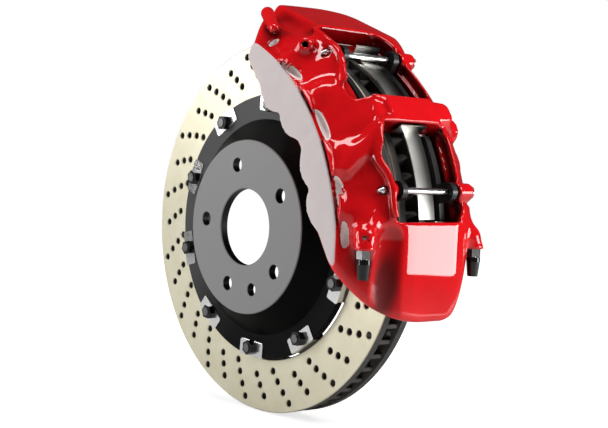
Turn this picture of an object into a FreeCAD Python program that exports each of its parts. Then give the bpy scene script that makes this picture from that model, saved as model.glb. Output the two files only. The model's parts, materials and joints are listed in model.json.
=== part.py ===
"""Two-piece brake disc with an eight-piston fixed caliper, one STEP file per piece.

Millimetres.  The disc axis is Y: +Y points inboard, towards the car, and -Y points at the wheel.
+Z is up, and +X is the side of the disc that the caliper clasps.  The origin is the centre of the
hub bore on the face that bolts to the hub.  Depths called v are measured along Y from the disc's
middle plane, so outboard is negative.  Angles go from +X towards +Z.
"""
import FreeCAD, Part
import math
import os

Vector = FreeCAD.Vector

# Disc: friction ring
RING_RADIUS = 177.5
RING_INNER_RADIUS = 127.0
RING_THICKNESS = 32.0
CHEEK = 8.0
EDGE_CHAMFER = 0.8
VANE_COUNT = 64
VANE_WIDTH = 3.5
VANE_RADII = (128.5, 175.5)
VANE_PHASE = -4.0              # of the vanes, behind the first row of holes
DRILL_RADIUS = 3.2
DRILL_CHAMFER = 0.7
DRILL_ROWS = 32
DRILL_SLANT = 0.237            # degrees of turn for each millimetre of radius
LONG_ROW_RADII = (169.0, 158.5, 148.0, 138.0)
SHORT_ROW_RADII = (163.0, 153.0, 143.5)
LONG_ROW_PHASE = 14.8          # angle of a long row at its outer hole

# Disc: hat
HAT_DEPTH = 36.5               # from the hub face to the disc's middle plane
HAT_PLATE = 8.0
HAT_FACE_RADIUS = 82.4
HAT_BORE_RADIUS = 36.3
HAT_CONE_RADIUS = 103.0
HAT_WALL = 7.0                 # measured along the radius
FLANGE_RADIUS = 126.0
FLANGE_DEPTHS = (-22.5, -16.5)
LUG_CIRCLE_RADIUS = 60.0
LUG_COUNT = 5
LUG_HOLE_RADIUS = 7.0
LUG_PHASE = 32.2
LOCATING_HOLE_RADIUS = 6.2
LOCATING_HOLE_ANGLE = 284.2

# Disc: floating drive
DRIVE_COUNT = 10
DRIVE_PHASE = 14.5
DRIVE_RADIUS = 117.0
NOTCH_WIDTH = 30.0
NOTCH_RADIUS = 110.5
DRIVE_GAP = 0.3
WASHER_SIZE = (34.0, 14.5, 0.8)
WASHER_CORNER = 2.0
SCREW_RADIUS = 4.0
SCREW_HOLE_RADIUS = 4.05
SCREW_HEAD = (6.5, 6.0)        # radius and height
SOCKET = (6.0, 3.5)            # across flats and depth
NUT_SIZE = (6.2, 5.5)

# Caliper: angles are from its own middle, which sits at CALIPER_ANGLE round the disc
CALIPER_ANGLE = 34.5
BRIDGE_RADIUS = 200.0
FACET_ANGLE = 34.5
FACET_START = -15.0
TIP_REACH = {-1: 60.0, 1: 67.0}    # of the lower and the upper end
SLOT_HALF = 19.5
SLOT_RADIUS = 181.5
WINDOW_ANGLE = 16.6
WINDOW_SPAN = 12.6
WINDOW_HALF = 42.0
WINDOW_FLOOR = 186.0
UPPER_WINDOW_END = 33.0        # the upper window runs on over a ledge
CAVITY_HALF = 38.0
OUTER_SECTION = ((120, -76), (128, -80), (166, -80), (195, -47), (214, -45),
                 (214, 48), (192, 68), (168, 78), (120, 78))
# What is trimmed off each end, given by (side, leg): a plan of (reach, depth) points, and a bevel
# of (height, depth) points beside the facet.  The upper end is the fuller one.
END_PLAN = {(-1, "outboard"): ((22, -81), (46, -65), (60, -46), (68, -20), (95, -20), (95, -81)),
            (-1, "inboard"): ((-20, 79), (-6, 72), (20, 60), (44, 49), (59, 40), (68, 26), (95, 26),
                              (95, 79)),
            (1, "outboard"): ((14, -81), (50, -50), (61, -32), (68, 4), (70, 30), (95, 30), (95, -81)),
            (1, "inboard"): ((24, 79), (56, 64), (68, 46), (70, 30), (95, 30), (95, 79))}
FACET_BEVEL = {(-1, "outboard"): ((201, -28), (193, -52), (216, -52), (216, -28)),
               (-1, "inboard"): ((201, 39), (184, 70), (184, 79), (216, 79), (216, 39)),
               (1, "outboard"): ((201, -40), (193, -56), (216, -56), (216, -40)),
               (1, "inboard"): ((201, 66), (190, 79), (216, 79), (216, 66))}
# The rail inboard of each window is bevelled: (radius, depth) points, over these angles
RAIL_BEVEL = ((201, 38), (186, 59), (216, 59), (216, 38))
RAIL_ANGLES = (4.0, 24.0)
LEG_INNER_RADIUS = 137.5
HEEL_REACH = -12.0
TIP_BEND = (-3.5, 7.0)         # from the tip, as (height, reach)
TIP_FOOT = (-13.0, 8.5)

# Caliper: pistons
PISTON_RADIUS = 14.95
BORE_RADIUS = 15.0
PISTON_CIRCLE = 152.0
PISTON_SPREAD = 6.6
BORE_END = 68.0
PISTON_END = 64.0
PISTON_WALL = 3.5
PISTON_CROWN = 6.0
LOBE_RADIUS = 22.0
SEAL_DEPTHS = (44.0, 47.0)
SEAL_OUTER_RADIUS = 17.2
BOOT_OUTER_RADIUS = 17.6
BOOT_DEPTHS = (36.3, 39.5)
GALLERY_RADIUS = 1.8
GALLERY_DEPTH = 65.2

# Pads
PAD_CLEARANCE = 0.6
LINING = 11.0
BACKPLATE = 6.0
SHIM = 1.0
PAD_SPAN = 12.0
LINING_SPAN = 11.6
LINING_RADII = (129.5, 176.5)
LINING_CHAMFER = 2.0
LINING_GROOVE = (2.0, 8.0)     # width and depth
BACKPLATE_RADII = (128.0, 184.0)
SHIM_RADII = (130.0, 178.0)
TAB_RADIUS = 8.5
PLATE_THICKNESS = 0.8          # of the abutment plates
PLATE_RADII = (138.0, 182.0)

# Pad pins and springs
PIN_RADIUS = 3.0
PIN_CIRCLE = 193.5
PIN_OFFSET = 4.8
PIN_DEPTHS = (-54.0, 62.0)
PIN_BOSS_RADIUS = 8.0
PIN_BOSS_DEPTHS = (-43.0, 56.0)
CLIP_DEPTHS = (57.5, 58.7)
SPRING_RADIUS = 189.2
SPRING_THICKNESS = 1.0
SPRING_DEPTHS = (-5.0, 14.0)
SPRING_SPANS = {-1: (-28.6, -4.6), 1: (4.6, 24.0)}
SPRING_BAR_RADIUS = 200.5      # outer edge of the upturned bar at the spring's upper end
SPRING_BAR_DEPTHS = {-1: (-17.0, 14.0), 1: (-9.0, 21.0)}
SADDLE_ANGLES = (12.8, 19.0)
SADDLE_DEPTHS = ((-7.0, 16.0), (-13.0, 22.0))

# Bleed screws, on the lower end, along -Z
BLEED_X = 190.0
BLEED_DEPTHS = {"outboard": -69.0, "inboard": 66.0}
BLEED_SEAT_Z = -6.0
BLEED_BOSS_RADIUS = 8.0
BLEED_BOSS_LENGTHS = (13.0, 26.0)  # of the barrel and of its root in the shoulder
BLEED_SPOT_FACE = (12.0, 46.0)     # radius and depth of the room round the screw and its cap
BLEED_THREAD = (4.9, 11.0)
BLEED_HEX = (11.0, 7.0)
BLEED_NECK = (3.2, 9.0)
BLEED_BARB = (4.2, 3.0, 5.0)       # base radius, tip radius and length
BLEED_BORE_RADIUS = 1.0
BLEED_CAP_TOP = 7.4                # below the seat
BLEED_CAP_SKIRT = (6.2, 4.0)
BLEED_CAP_TAPER = (6.0, 4.6, 13.0)
BLEED_CAP_HOLLOW = (4.6, 12.2)
BLEED_CAP_TIP = (3.0, 1.6)

# Mounting ears and fluid port, on the inboard leg
EAR_CIRCLE = 125.0
EAR_ANGLE = 42.0
EAR_RADIUS = 14.0
EAR_HOLE_RADIUS = 7.1
EAR_DEPTHS = (48.0, 72.0)
# The web between an ear and the leg, as (radius, angle) corners
EAR_WEB = ((111.0, 41.0), (131.0, 47.6), (162.0, 44.0), (146.0, 22.0), (132.0, 24.0))
INLET_RADIUS = 5.0
INLET_LENGTH = 14.0
INLET_CIRCLE = 172.0
INLET_FACE = 78.0
INLET_BOSS_RADIUS = 13.0


def spot(radius, angle, depth=0.0):
    """A point at a radius and an angle round the disc, at a depth from the disc's middle plane."""
    turn = math.radians(angle)
    return Vector(radius * math.cos(turn), depth + HAT_DEPTH, radius * math.sin(turn))


def turned(shape, angle):
    """A copy of the shape, turned round the disc axis."""
    copy = shape.copy()
    copy.rotate(Vector(0, 0, 0), Vector(0, -1, 0), angle)
    return copy


def repeated(shape, count, phase=0.0):
    return [turned(shape, phase + index * 360.0 / count) for index in range(count)]


def sector(section, start=0.0, sweep=360.0):
    """A solid of revolution about the disc axis, from a closed section of (radius, depth) points."""
    points = [Vector(radius, depth + HAT_DEPTH, 0) for radius, depth in section]
    face = Part.Face(Part.makePolygon(points + points[:1]))
    solid = face.revolve(Vector(0, 0, 0), Vector(0, -1, 0), sweep)
    return turned(solid, start)


def band(inner, outer, low, high, start=0.0, sweep=360.0):
    """A ring, or a stretch of one, of rectangular section."""
    return sector(((inner, low), (outer, low), (outer, high), (inner, high)), start, sweep)


def peg(size, low, high, radius=0.0, angle=0.0):
    """A cylinder along the disc axis, from one depth to another."""
    return Part.makeCylinder(size, high - low, spot(radius, angle, low), Vector(0, 1, 0))


def block(radial, across, low, high, radius, angle=0.0):
    """A box centred on a radius, as wide across the radius as stated, between two depths."""
    corner = Vector(radius - radial / 2, low + HAT_DEPTH, -across / 2)
    return turned(Part.makeBox(radial, high - low, across, corner), angle)


def hexagon(width, height, base, direction):
    """A hexagonal prism, as wide across its flats as stated."""
    corners = []
    for index in range(7):
        turn = math.radians(60 * index)
        corners.append(Vector(math.cos(turn), math.sin(turn), 0) * (width / math.sqrt(3)))
    prism = Part.Face(Part.makePolygon(corners)).extrude(Vector(0, 0, height))
    prism.Placement = FreeCAD.Placement(base, FreeCAD.Rotation(Vector(0, 0, 1), direction))
    return prism


def joined(shapes):
    return shapes[0].multiFuse(shapes[1:]).removeSplitter()


def friction_ring():
    """Two cheeks held apart by vanes, drilled through, with lugs that carry the drive bobbins."""
    half = RING_THICKNESS / 2
    edge = EDGE_CHAMFER
    outline = ((RING_INNER_RADIUS, half - CHEEK), (RING_RADIUS, half - CHEEK),
               (RING_RADIUS, half - edge), (RING_RADIUS - edge, half),
               (RING_INNER_RADIUS + edge, half), (RING_INNER_RADIUS, half - edge))
    inboard = sector(outline)
    outboard = sector([(radius, -depth) for radius, depth in outline])
    lug = block(RING_INNER_RADIUS + 2 - NOTCH_RADIUS, NOTCH_WIDTH, -half, CHEEK - half,
                (RING_INNER_RADIUS + 2 + NOTCH_RADIUS) / 2)
    outboard = joined([outboard] + repeated(lug, DRIVE_COUNT, DRIVE_PHASE))
    inner, outer = VANE_RADII
    swing = DRILL_SLANT * (outer - inner) / 2
    start = spot(inner, -swing)
    run = spot(outer, swing) - start
    vane = Part.makeBox(run.Length, RING_THICKNESS - 2 * CHEEK, VANE_WIDTH,
                        Vector(0, CHEEK - half, -VANE_WIDTH / 2))
    vane.rotate(Vector(0, 0, 0), Vector(0, -1, 0), math.degrees(math.atan2(run.z, run.x)))
    vane.translate(start)
    first_vane = 180.0 / VANE_COUNT + LONG_ROW_PHASE + VANE_PHASE
    ring = joined([outboard, inboard] + repeated(vane, VANE_COUNT, first_vane))
    drills = []
    for row in range(DRILL_ROWS):
        radii = LONG_ROW_RADII if row % 2 == 0 else SHORT_ROW_RADII
        for radius in radii:
            lean = DRILL_SLANT * (radius - LONG_ROW_RADII[0])
            angle = LONG_ROW_PHASE + row * 360.0 / DRILL_ROWS + lean
            drills.append(drill(radius, angle))
    for index in range(DRIVE_COUNT):
        angle = DRIVE_PHASE + index * 360.0 / DRIVE_COUNT
        drills.append(peg(SCREW_HOLE_RADIUS, -half - 1, 0, DRIVE_RADIUS, angle))
    return ring.cut(Part.makeCompound(drills))


def drill(radius, angle):
    """What one hole takes out of the ring: a cylinder, chamfered where it leaves each face."""
    half = RING_THICKNESS / 2
    wide = DRILL_RADIUS + DRILL_CHAMFER
    profile = [(0, -half - 1), (wide, -half - 1), (wide, -half), (DRILL_RADIUS, DRILL_CHAMFER - half),
               (DRILL_RADIUS, half - DRILL_CHAMFER), (wide, half), (wide, half + 1), (0, half + 1)]
    points = [Vector(across, depth, 0) for across, depth in profile]
    face = Part.Face(Part.makePolygon(points + points[:1]))
    tool = face.revolve(Vector(0, 0, 0), Vector(0, 1, 0), 360)
    tool.translate(spot(radius, angle))
    return tool


def disc_hat():
    """The bell: hub plate, conical wall and flange, with a notch for each drive bobbin."""
    face = -HAT_DEPTH - HAT_PLATE
    front, back = FLANGE_DEPTHS
    edge = EDGE_CHAMFER
    section = ((HAT_BORE_RADIUS, face + edge), (HAT_BORE_RADIUS + edge, face),
               (HAT_FACE_RADIUS - edge, face), (HAT_FACE_RADIUS, face + edge),
               (HAT_CONE_RADIUS, front), (FLANGE_RADIUS - edge, front), (FLANGE_RADIUS, front + edge),
               (FLANGE_RADIUS, back), (HAT_CONE_RADIUS - HAT_WALL, back),
               (HAT_FACE_RADIUS + 1 - HAT_WALL, -HAT_DEPTH),
               (HAT_BORE_RADIUS, -HAT_DEPTH))
    hat = sector(section)
    cuts = []
    for index in range(LUG_COUNT):
        angle = LUG_PHASE + index * 360.0 / LUG_COUNT
        cuts.append(peg(LUG_HOLE_RADIUS, face - 1, 1 - HAT_DEPTH, LUG_CIRCLE_RADIUS, angle))
    cuts.append(peg(LOCATING_HOLE_RADIUS, face - 1, 1 - HAT_DEPTH, LUG_CIRCLE_RADIUS, LOCATING_HOLE_ANGLE))
    depth = FLANGE_RADIUS + 2 - NOTCH_RADIUS
    notch = block(depth, NOTCH_WIDTH, front - 1, back + 1, NOTCH_RADIUS + depth / 2)
    cuts += repeated(notch, DRIVE_COUNT, DRIVE_PHASE)
    return hat.cut(Part.makeCompound(cuts))


def drive_bobbins():
    """A block in each notch that turns the ring with the hat and lets it grow when it is hot."""
    front = FLANGE_DEPTHS[0] - DRIVE_GAP
    back = -RING_THICKNESS / 2
    length = FLANGE_RADIUS - NOTCH_RADIUS - 2 * DRIVE_GAP
    middle = (FLANGE_RADIUS + NOTCH_RADIUS) / 2
    bobbin = block(length, NOTCH_WIDTH - 2 * DRIVE_GAP, front, back, middle)
    bobbin = bobbin.cut(peg(SCREW_HOLE_RADIUS, front - 1, back + 1, DRIVE_RADIUS))
    return repeated(bobbin, DRIVE_COUNT, DRIVE_PHASE)


def bobbin_washers():
    """Spring washers that overlap the flange beside each notch."""
    across, radial, thick = WASHER_SIZE
    high = FLANGE_DEPTHS[0] - DRIVE_GAP
    washer = block(radial, across, high - thick, high, (FLANGE_RADIUS + NOTCH_RADIUS) / 2)
    upright = [edge for edge in washer.Edges if abs(edge.tangentAt(edge.FirstParameter).y) > 0.9]
    washer = washer.makeFillet(WASHER_CORNER, upright)
    washer = washer.cut(peg(SCREW_RADIUS, high - thick - 1, high + 1, DRIVE_RADIUS))
    return repeated(washer, DRIVE_COUNT, DRIVE_PHASE)


def bobbin_screws():
    """Cap screws from behind the lugs, through the bobbins."""
    thick = WASHER_SIZE[2]
    tip = FLANGE_DEPTHS[0] - DRIVE_GAP - thick - NUT_SIZE[1] - 1.0
    head_base = CHEEK - RING_THICKNESS / 2
    shank = peg(SCREW_RADIUS, tip, head_base, DRIVE_RADIUS)
    radius, height = SCREW_HEAD
    head = peg(radius, head_base, head_base + height, DRIVE_RADIUS)
    flats, depth = SOCKET
    socket = hexagon(flats, depth + 1, spot(DRIVE_RADIUS, 0, head_base + height - depth), Vector(0, 1, 0))
    return repeated(shank.fuse(head).cut(socket).removeSplitter(), DRIVE_COUNT, DRIVE_PHASE)


def bobbin_nuts():
    high = FLANGE_DEPTHS[0] - DRIVE_GAP - WASHER_SIZE[2]
    radius, height = NUT_SIZE
    nut = hexagon(2 * radius, height, spot(DRIVE_RADIUS, 0, high), Vector(0, -1, 0))
    nut = nut.cut(peg(SCREW_RADIUS, high - height - 1, high + 1, DRIVE_RADIUS))
    return repeated(nut, DRIVE_COUNT, DRIVE_PHASE)


def facet_point(height, reach, side):
    """A point given by its height above the disc centre along an end facet's normal, and its reach
    beyond the normal's foot, away from the caliper's middle.  It lies in the plane v = 0."""
    turn = math.radians(FACET_ANGLE)
    x = height * math.cos(turn) - reach * math.sin(turn)
    z = height * math.sin(turn) + reach * math.cos(turn)
    return Vector(x, HAT_DEPTH, side * z)


def facet_prism(section, side, runs_along_height):
    """A prism over one end: a closed section in (reach, depth) or in (height, depth), run along
    the other direction."""
    points = []
    for across, depth in section:
        height, reach = (90, across) if runs_along_height else (across, 0)
        point = facet_point(height, reach, side)
        points.append(Vector(point.x, depth + HAT_DEPTH, point.z))
    foot = facet_point(0, 0, side)
    far = facet_point(150, 0, side) if runs_along_height else facet_point(0, 90, side)
    return Part.Face(Part.makePolygon(points + points[:1])).extrude(far - foot)


def end_trims():
    """The corners that make each end of each leg taper towards its tip, and the rails' bevels."""
    trims = []
    for end in END_PLAN:
        trims.append(facet_prism(END_PLAN[end], end[0], True))
        trims.append(facet_prism(FACET_BEVEL[end], end[0], False))
    near, far = RAIL_ANGLES
    trims.append(sector(RAIL_BEVEL, near, far - near))
    trims.append(sector(RAIL_BEVEL, -far, far - near))
    return trims


def leg_outline():
    """The caliper's side view: round between two flat end facets, each tapering to a blunt tip."""
    edges = []
    for side in (-1, 1):
        reach = TIP_REACH[side]
        start = facet_point(BRIDGE_RADIUS, FACET_START, side)
        tip = facet_point(BRIDGE_RADIUS, reach, side)
        bend = facet_point(BRIDGE_RADIUS + TIP_BEND[0], reach + TIP_BEND[1], side)
        foot = facet_point(BRIDGE_RADIUS + TIP_FOOT[0], reach + TIP_FOOT[1], side)
        heel = facet_point(LEG_INNER_RADIUS, HEEL_REACH, side)
        edges.append(Part.LineSegment(start, tip).toShape())
        edges.append(Part.Arc(tip, bend, foot).toShape())
        edges.append(Part.LineSegment(foot, heel).toShape())
    for height, reach in ((BRIDGE_RADIUS, FACET_START), (LEG_INNER_RADIUS, HEEL_REACH)):
        low = facet_point(height, reach, -1)
        high = facet_point(height, reach, 1)
        middle = spot(math.hypot(low.x, low.z), 0)
        edges.append(Part.Arc(low, middle, high).toShape())
    face = Part.Face(Part.Wire(Part.__sortEdges__(edges)))
    low, high = OUTER_SECTION[2][1], OUTER_SECTION[-1][1]
    outline = face.extrude(Vector(0, high - low, 0))
    outline.translate(Vector(0, low, 0))
    return outline


def piston_angles():
    middles = (-WINDOW_ANGLE, WINDOW_ANGLE)
    return [middle + side * PISTON_SPREAD for middle in middles for side in (-1, 1)]


def pin_angles():
    return [side * (WINDOW_ANGLE + PIN_OFFSET) for side in (-1, 1)]


def mounting_ear(side):
    """A round ear on the inboard leg, with the web that joins it to the leg."""
    low, high = EAR_DEPTHS
    ear = peg(EAR_RADIUS, low, high, EAR_CIRCLE, side * EAR_ANGLE)
    corners = [spot(radius, side * angle, low) for radius, angle in EAR_WEB]
    web = Part.Face(Part.makePolygon(corners + corners[:1])).extrude(Vector(0, high - low, 0))
    return [ear, web]


def bleed_axis(side):
    """Where a bleed screw's axis meets its seat on the boss."""
    return Vector(BLEED_X, BLEED_DEPTHS[side] + HAT_DEPTH, BLEED_SEAT_Z)


def bleed_boss(side):
    """A boss that runs from the bleed screw's seat up into the leg's shoulder."""
    base = bleed_axis(side)
    inward = -0.6 if BLEED_DEPTHS[side] > 0 else 0.6
    barrel_length, root_length = BLEED_BOSS_LENGTHS
    barrel = Part.makeCylinder(BLEED_BOSS_RADIUS, barrel_length, base, Vector(0, 0, 1))
    middle = base + Vector(0, 0, barrel_length / 2)
    root = Part.makeCylinder(BLEED_BOSS_RADIUS, root_length, middle, Vector(-0.8, inward, 1))
    return barrel.fuse(root)


def caliper_cuts():
    """Everything that is taken out of the caliper casting."""
    cuts = [band(60, SLOT_RADIUS, -SLOT_HALF, SLOT_HALF, -90, 180)]
    for middle in (-WINDOW_ANGLE, WINDOW_ANGLE):
        start = middle - WINDOW_SPAN
        end = middle + WINDOW_SPAN if middle < 0 else UPPER_WINDOW_END
        cuts.append(band(100, 230, -CAVITY_HALF, CAVITY_HALF, start, 2 * WINDOW_SPAN))
        cuts.append(band(WINDOW_FLOOR, 230, -WINDOW_HALF, WINDOW_HALF, start, end - start))
    for angle in piston_angles():
        cuts.append(peg(BORE_RADIUS, -BORE_END, BORE_END, PISTON_CIRCLE, angle))
        for side in (-1, 1):
            for size, depths in ((SEAL_OUTER_RADIUS, SEAL_DEPTHS), (BOOT_OUTER_RADIUS, BOOT_DEPTHS)):
                low, high = sorted((side * depths[0], side * depths[1]))
                cuts.append(peg(size, low, high, PISTON_CIRCLE, angle))
    angles = piston_angles()
    for side in (-1, 1):
        for first, second in zip(angles, angles[1:]):
            start = spot(PISTON_CIRCLE, first, side * GALLERY_DEPTH)
            run = spot(PISTON_CIRCLE, second, side * GALLERY_DEPTH) - start
            cuts.append(Part.makeCylinder(GALLERY_RADIUS, run.Length, start, run))
    for angle in pin_angles():
        cuts.append(peg(PIN_RADIUS, PIN_DEPTHS[0] - 30, PIN_DEPTHS[1] + 30, PIN_CIRCLE, angle))
        cuts.append(peg(PIN_BOSS_RADIUS, PIN_BOSS_DEPTHS[1], PIN_DEPTHS[1] + 30, PIN_CIRCLE, angle))
    low, high = EAR_DEPTHS
    for side in (-1, 1):
        cuts.append(peg(EAR_HOLE_RADIUS, low - 1, high + 1, EAR_CIRCLE, side * EAR_ANGLE))
    cuts.append(peg(INLET_RADIUS, INLET_FACE - INLET_LENGTH, INLET_FACE + 20, INLET_CIRCLE, 0))
    return cuts


def caliper_body():
    """One-piece casting: two legs, two end bridges and a middle bridge over the disc."""
    legs = [leg_outline()]
    for angle in piston_angles():
        legs.append(peg(LOBE_RADIUS, -78, 78, PISTON_CIRCLE, angle))
    solid = joined(legs).common(sector(OUTER_SECTION, -90, 180)).cut(end_trims())
    bosses = []
    for angle in pin_angles():
        bosses.append(peg(PIN_BOSS_RADIUS, *PIN_BOSS_DEPTHS, PIN_CIRCLE, angle))
    bosses.append(peg(INLET_BOSS_RADIUS, 60, INLET_FACE, INLET_CIRCLE, 0))
    for side in (-1, 1):
        bosses += mounting_ear(side)
    solid = joined([solid] + bosses)
    solid = turned(solid.cut(caliper_cuts()), CALIPER_ANGLE)
    for side in BLEED_DEPTHS:
        solid = solid.fuse(bleed_boss(side))
    thread_radius, thread_length = BLEED_THREAD
    for side in BLEED_DEPTHS:
        base = bleed_axis(side)
        solid = solid.cut(Part.makeCylinder(thread_radius + 0.05, thread_length + 1, base, Vector(0, 0, 1)))
        solid = solid.cut(Part.makeCylinder(*BLEED_SPOT_FACE, base, Vector(0, 0, -1)))
    return solid.removeSplitter()


def piston(angle, side):
    """A cup, open towards the pad."""
    rim = pad_depths()[3]
    cup = peg(PISTON_RADIUS, rim, PISTON_END, PISTON_CIRCLE, angle)
    hollow = peg(PISTON_RADIUS - PISTON_WALL, rim - 1, PISTON_END - PISTON_CROWN, PISTON_CIRCLE, angle)
    return placed(cup.cut(hollow), side)


def placed(shape, side):
    """A copy for one side of the disc, turned to the caliper's place; 1 is inboard and -1 outboard."""
    copy = shape
    if side < 0:
        copy = shape.mirror(Vector(0, HAT_DEPTH, 0), Vector(0, 1, 0))
    return turned(copy, CALIPER_ANGLE)


def piston_rings(inner, outer, depths, gap):
    """One ring round every piston."""
    rings = []
    for angle in piston_angles():
        for side in (-1, 1):
            solid = peg(outer, depths[0] + gap, depths[1], PISTON_CIRCLE, angle)
            solid = solid.cut(peg(inner, depths[0] - 1, depths[1] + 1, PISTON_CIRCLE, angle))
            rings.append(placed(solid, side))
    return rings


def pad_depths():
    """Depths of the lining's face, the backplate's two faces and the shim's back."""
    face = RING_THICKNESS / 2 + PAD_CLEARANCE
    return face, face + LINING, face + LINING + BACKPLATE, face + LINING + BACKPLATE + SHIM


def pad_lining(window, side):
    face, back = pad_depths()[:2]
    inner, outer = LINING_RADII
    start = window * WINDOW_ANGLE - LINING_SPAN
    lining = band(inner, outer, face, back, start, 2 * LINING_SPAN)
    ends = [line for line in lining.Edges
            if abs(line.CenterOfMass.y - face - HAT_DEPTH) < 0.01 and line.Curve.TypeId == "Part::GeomLine"]
    lining = lining.makeChamfer(LINING_CHAMFER, ends)
    width, depth = LINING_GROOVE
    groove = block(60, width, face - 1, face + depth, (inner + outer) / 2, window * WINDOW_ANGLE)
    return placed(lining.cut(groove), side)


def pad_backplate(window, side):
    """Steel plate with a tab that hangs on the pad pin."""
    face, back = pad_depths()[1:3]
    inner, outer = BACKPLATE_RADII
    middle = window * WINDOW_ANGLE
    pin = window * (WINDOW_ANGLE + PIN_OFFSET)
    plate = band(inner, outer, face, back, middle - PAD_SPAN, 2 * PAD_SPAN)
    neck = block(PIN_CIRCLE - outer + 6, 2 * TAB_RADIUS, face, back, (PIN_CIRCLE + outer - 6) / 2, pin)
    tab = peg(TAB_RADIUS, face, back, PIN_CIRCLE, pin)
    plate = joined([plate, neck, tab])
    hole = peg(PIN_RADIUS + 0.6, face - 1, back + 1, PIN_CIRCLE, pin)
    return placed(plate.cut(hole), side)


def pad_shim(window, side):
    face, back = pad_depths()[2:]
    inner, outer = SHIM_RADII
    span = PAD_SPAN - 0.8
    shim = band(inner, outer, face, back, window * WINDOW_ANGLE - span, 2 * span)
    return placed(shim, side)


def abutment_plates():
    """Thin wear plates on the walls that the pads' ends bear on."""
    low, high = pad_depths()[1:3]
    inner, outer = PLATE_RADII
    width = math.degrees(PLATE_THICKNESS / PISTON_CIRCLE)
    plates = []
    for window in (-1, 1):
        middle = window * WINDOW_ANGLE
        for start in (middle - WINDOW_SPAN, middle + WINDOW_SPAN - width):
            plate = band(inner, outer, low - 4, high + 0.4, start, width)
            plates += [placed(plate, 1), placed(plate, -1)]
    return plates


def pad_pin(window):
    """Pin across the window, with a tapered nose outboard and a plain end inboard."""
    low, high = PIN_DEPTHS
    angle = window * (WINDOW_ANGLE + PIN_OFFSET)
    shaft = peg(PIN_RADIUS, low + 4, high, PIN_CIRCLE, angle)
    nose = Part.makeCone(1.0, PIN_RADIUS, 4, spot(PIN_CIRCLE, angle, low), Vector(0, 1, 0))
    ring = peg(PIN_RADIUS + 1, *CLIP_DEPTHS, PIN_CIRCLE, angle)
    groove = ring.cut(peg(PIN_RADIUS - 0.6, *CLIP_DEPTHS, PIN_CIRCLE, angle))
    return turned(joined([shaft, nose]).cut(groove), CALIPER_ANGLE)


def pin_clips():
    """Spring clips in the grooves at the pins' inboard ends."""
    clips = []
    for angle in pin_angles():
        low, high = CLIP_DEPTHS
        clip = peg(PIN_RADIUS + 3, low, high, PIN_CIRCLE, angle)
        clip = clip.cut(peg(PIN_RADIUS - 0.6, low - 1, high + 1, PIN_CIRCLE, angle))
        mouth = block(8, 3, low - 1, high + 1, PIN_CIRCLE + 4, angle)
        clips.append(turned(clip.cut(mouth), CALIPER_ANGLE))
    return clips


def pad_spring(window):
    """Leaf spring under the pin, with an upturned bar at its upper end.  The upper window's spring
    widens into a saddle."""
    inner = SPRING_RADIUS
    outer = inner + SPRING_THICKNESS
    start, end = SPRING_SPANS[window]
    strip = band(inner, outer, *SPRING_DEPTHS, start, end - start)
    thick = math.degrees(SPRING_THICKNESS / inner)
    bar = band(inner, SPRING_BAR_RADIUS, *SPRING_BAR_DEPTHS[window], end - thick, thick)
    leaves = [strip, bar]
    if window > 0:
        leaves.append(saddle(inner, outer))
    return turned(joined(leaves), CALIPER_ANGLE)


def saddle(inner, outer):
    """A curved plate that is wider at its upper end."""
    corners = []
    for angle, depths in zip(SADDLE_ANGLES, SADDLE_DEPTHS):
        corners.append([spot(outer + 5, angle, depth) for depth in depths])
    outline = [corners[0][0], corners[0][1], corners[1][1], corners[1][0], corners[0][0]]
    middle = math.radians(sum(SADDLE_ANGLES) / 2)
    inward = Vector(-math.cos(middle), 0, -math.sin(middle)) * 20
    wedge = Part.Face(Part.makePolygon(outline)).extrude(inward)
    low, high = SADDLE_DEPTHS[1]
    return band(inner, outer, low, high, SADDLE_ANGLES[0] - 3, 14).common(wedge)


def bleed_screw(side):
    """Hollow screw with a hexagon and a nipple, pointing down."""
    base = bleed_axis(side)
    down = Vector(0, 0, -1)
    thread = Part.makeCylinder(*BLEED_THREAD, base, Vector(0, 0, 1))
    flats, height = BLEED_HEX
    head = hexagon(flats, height, base, down)
    neck_radius, neck_length = BLEED_NECK
    neck = Part.makeCylinder(neck_radius, neck_length, base + down * height, down)
    barb_top = height + neck_length - 2
    barb = Part.makeCone(*BLEED_BARB, base + down * barb_top, down)
    end = barb_top + BLEED_BARB[2]
    bore_length = end + BLEED_THREAD[1] - 1
    bore = Part.makeCylinder(BLEED_BORE_RADIUS, bore_length, base + down * (end + 1), Vector(0, 0, 1))
    return joined([thread, head, neck, barb]).cut(bore)


def bleed_cap(side):
    """Rubber dust cap over the nipple."""
    top = bleed_axis(side) + Vector(0, 0, -BLEED_CAP_TOP)
    down = Vector(0, 0, -1)
    skirt_radius, skirt_length = BLEED_CAP_SKIRT
    skirt = Part.makeCylinder(skirt_radius, skirt_length, top, down)
    outer = Part.makeCone(*BLEED_CAP_TAPER, top + down * skirt_length, down)
    radius, length = BLEED_CAP_HOLLOW
    hollow = Part.makeCylinder(radius, length, top, down)
    tip = Part.makeCone(radius, *BLEED_CAP_TIP, top + down * length, down)
    return joined([skirt, outer]).cut(hollow).cut(tip)


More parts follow.
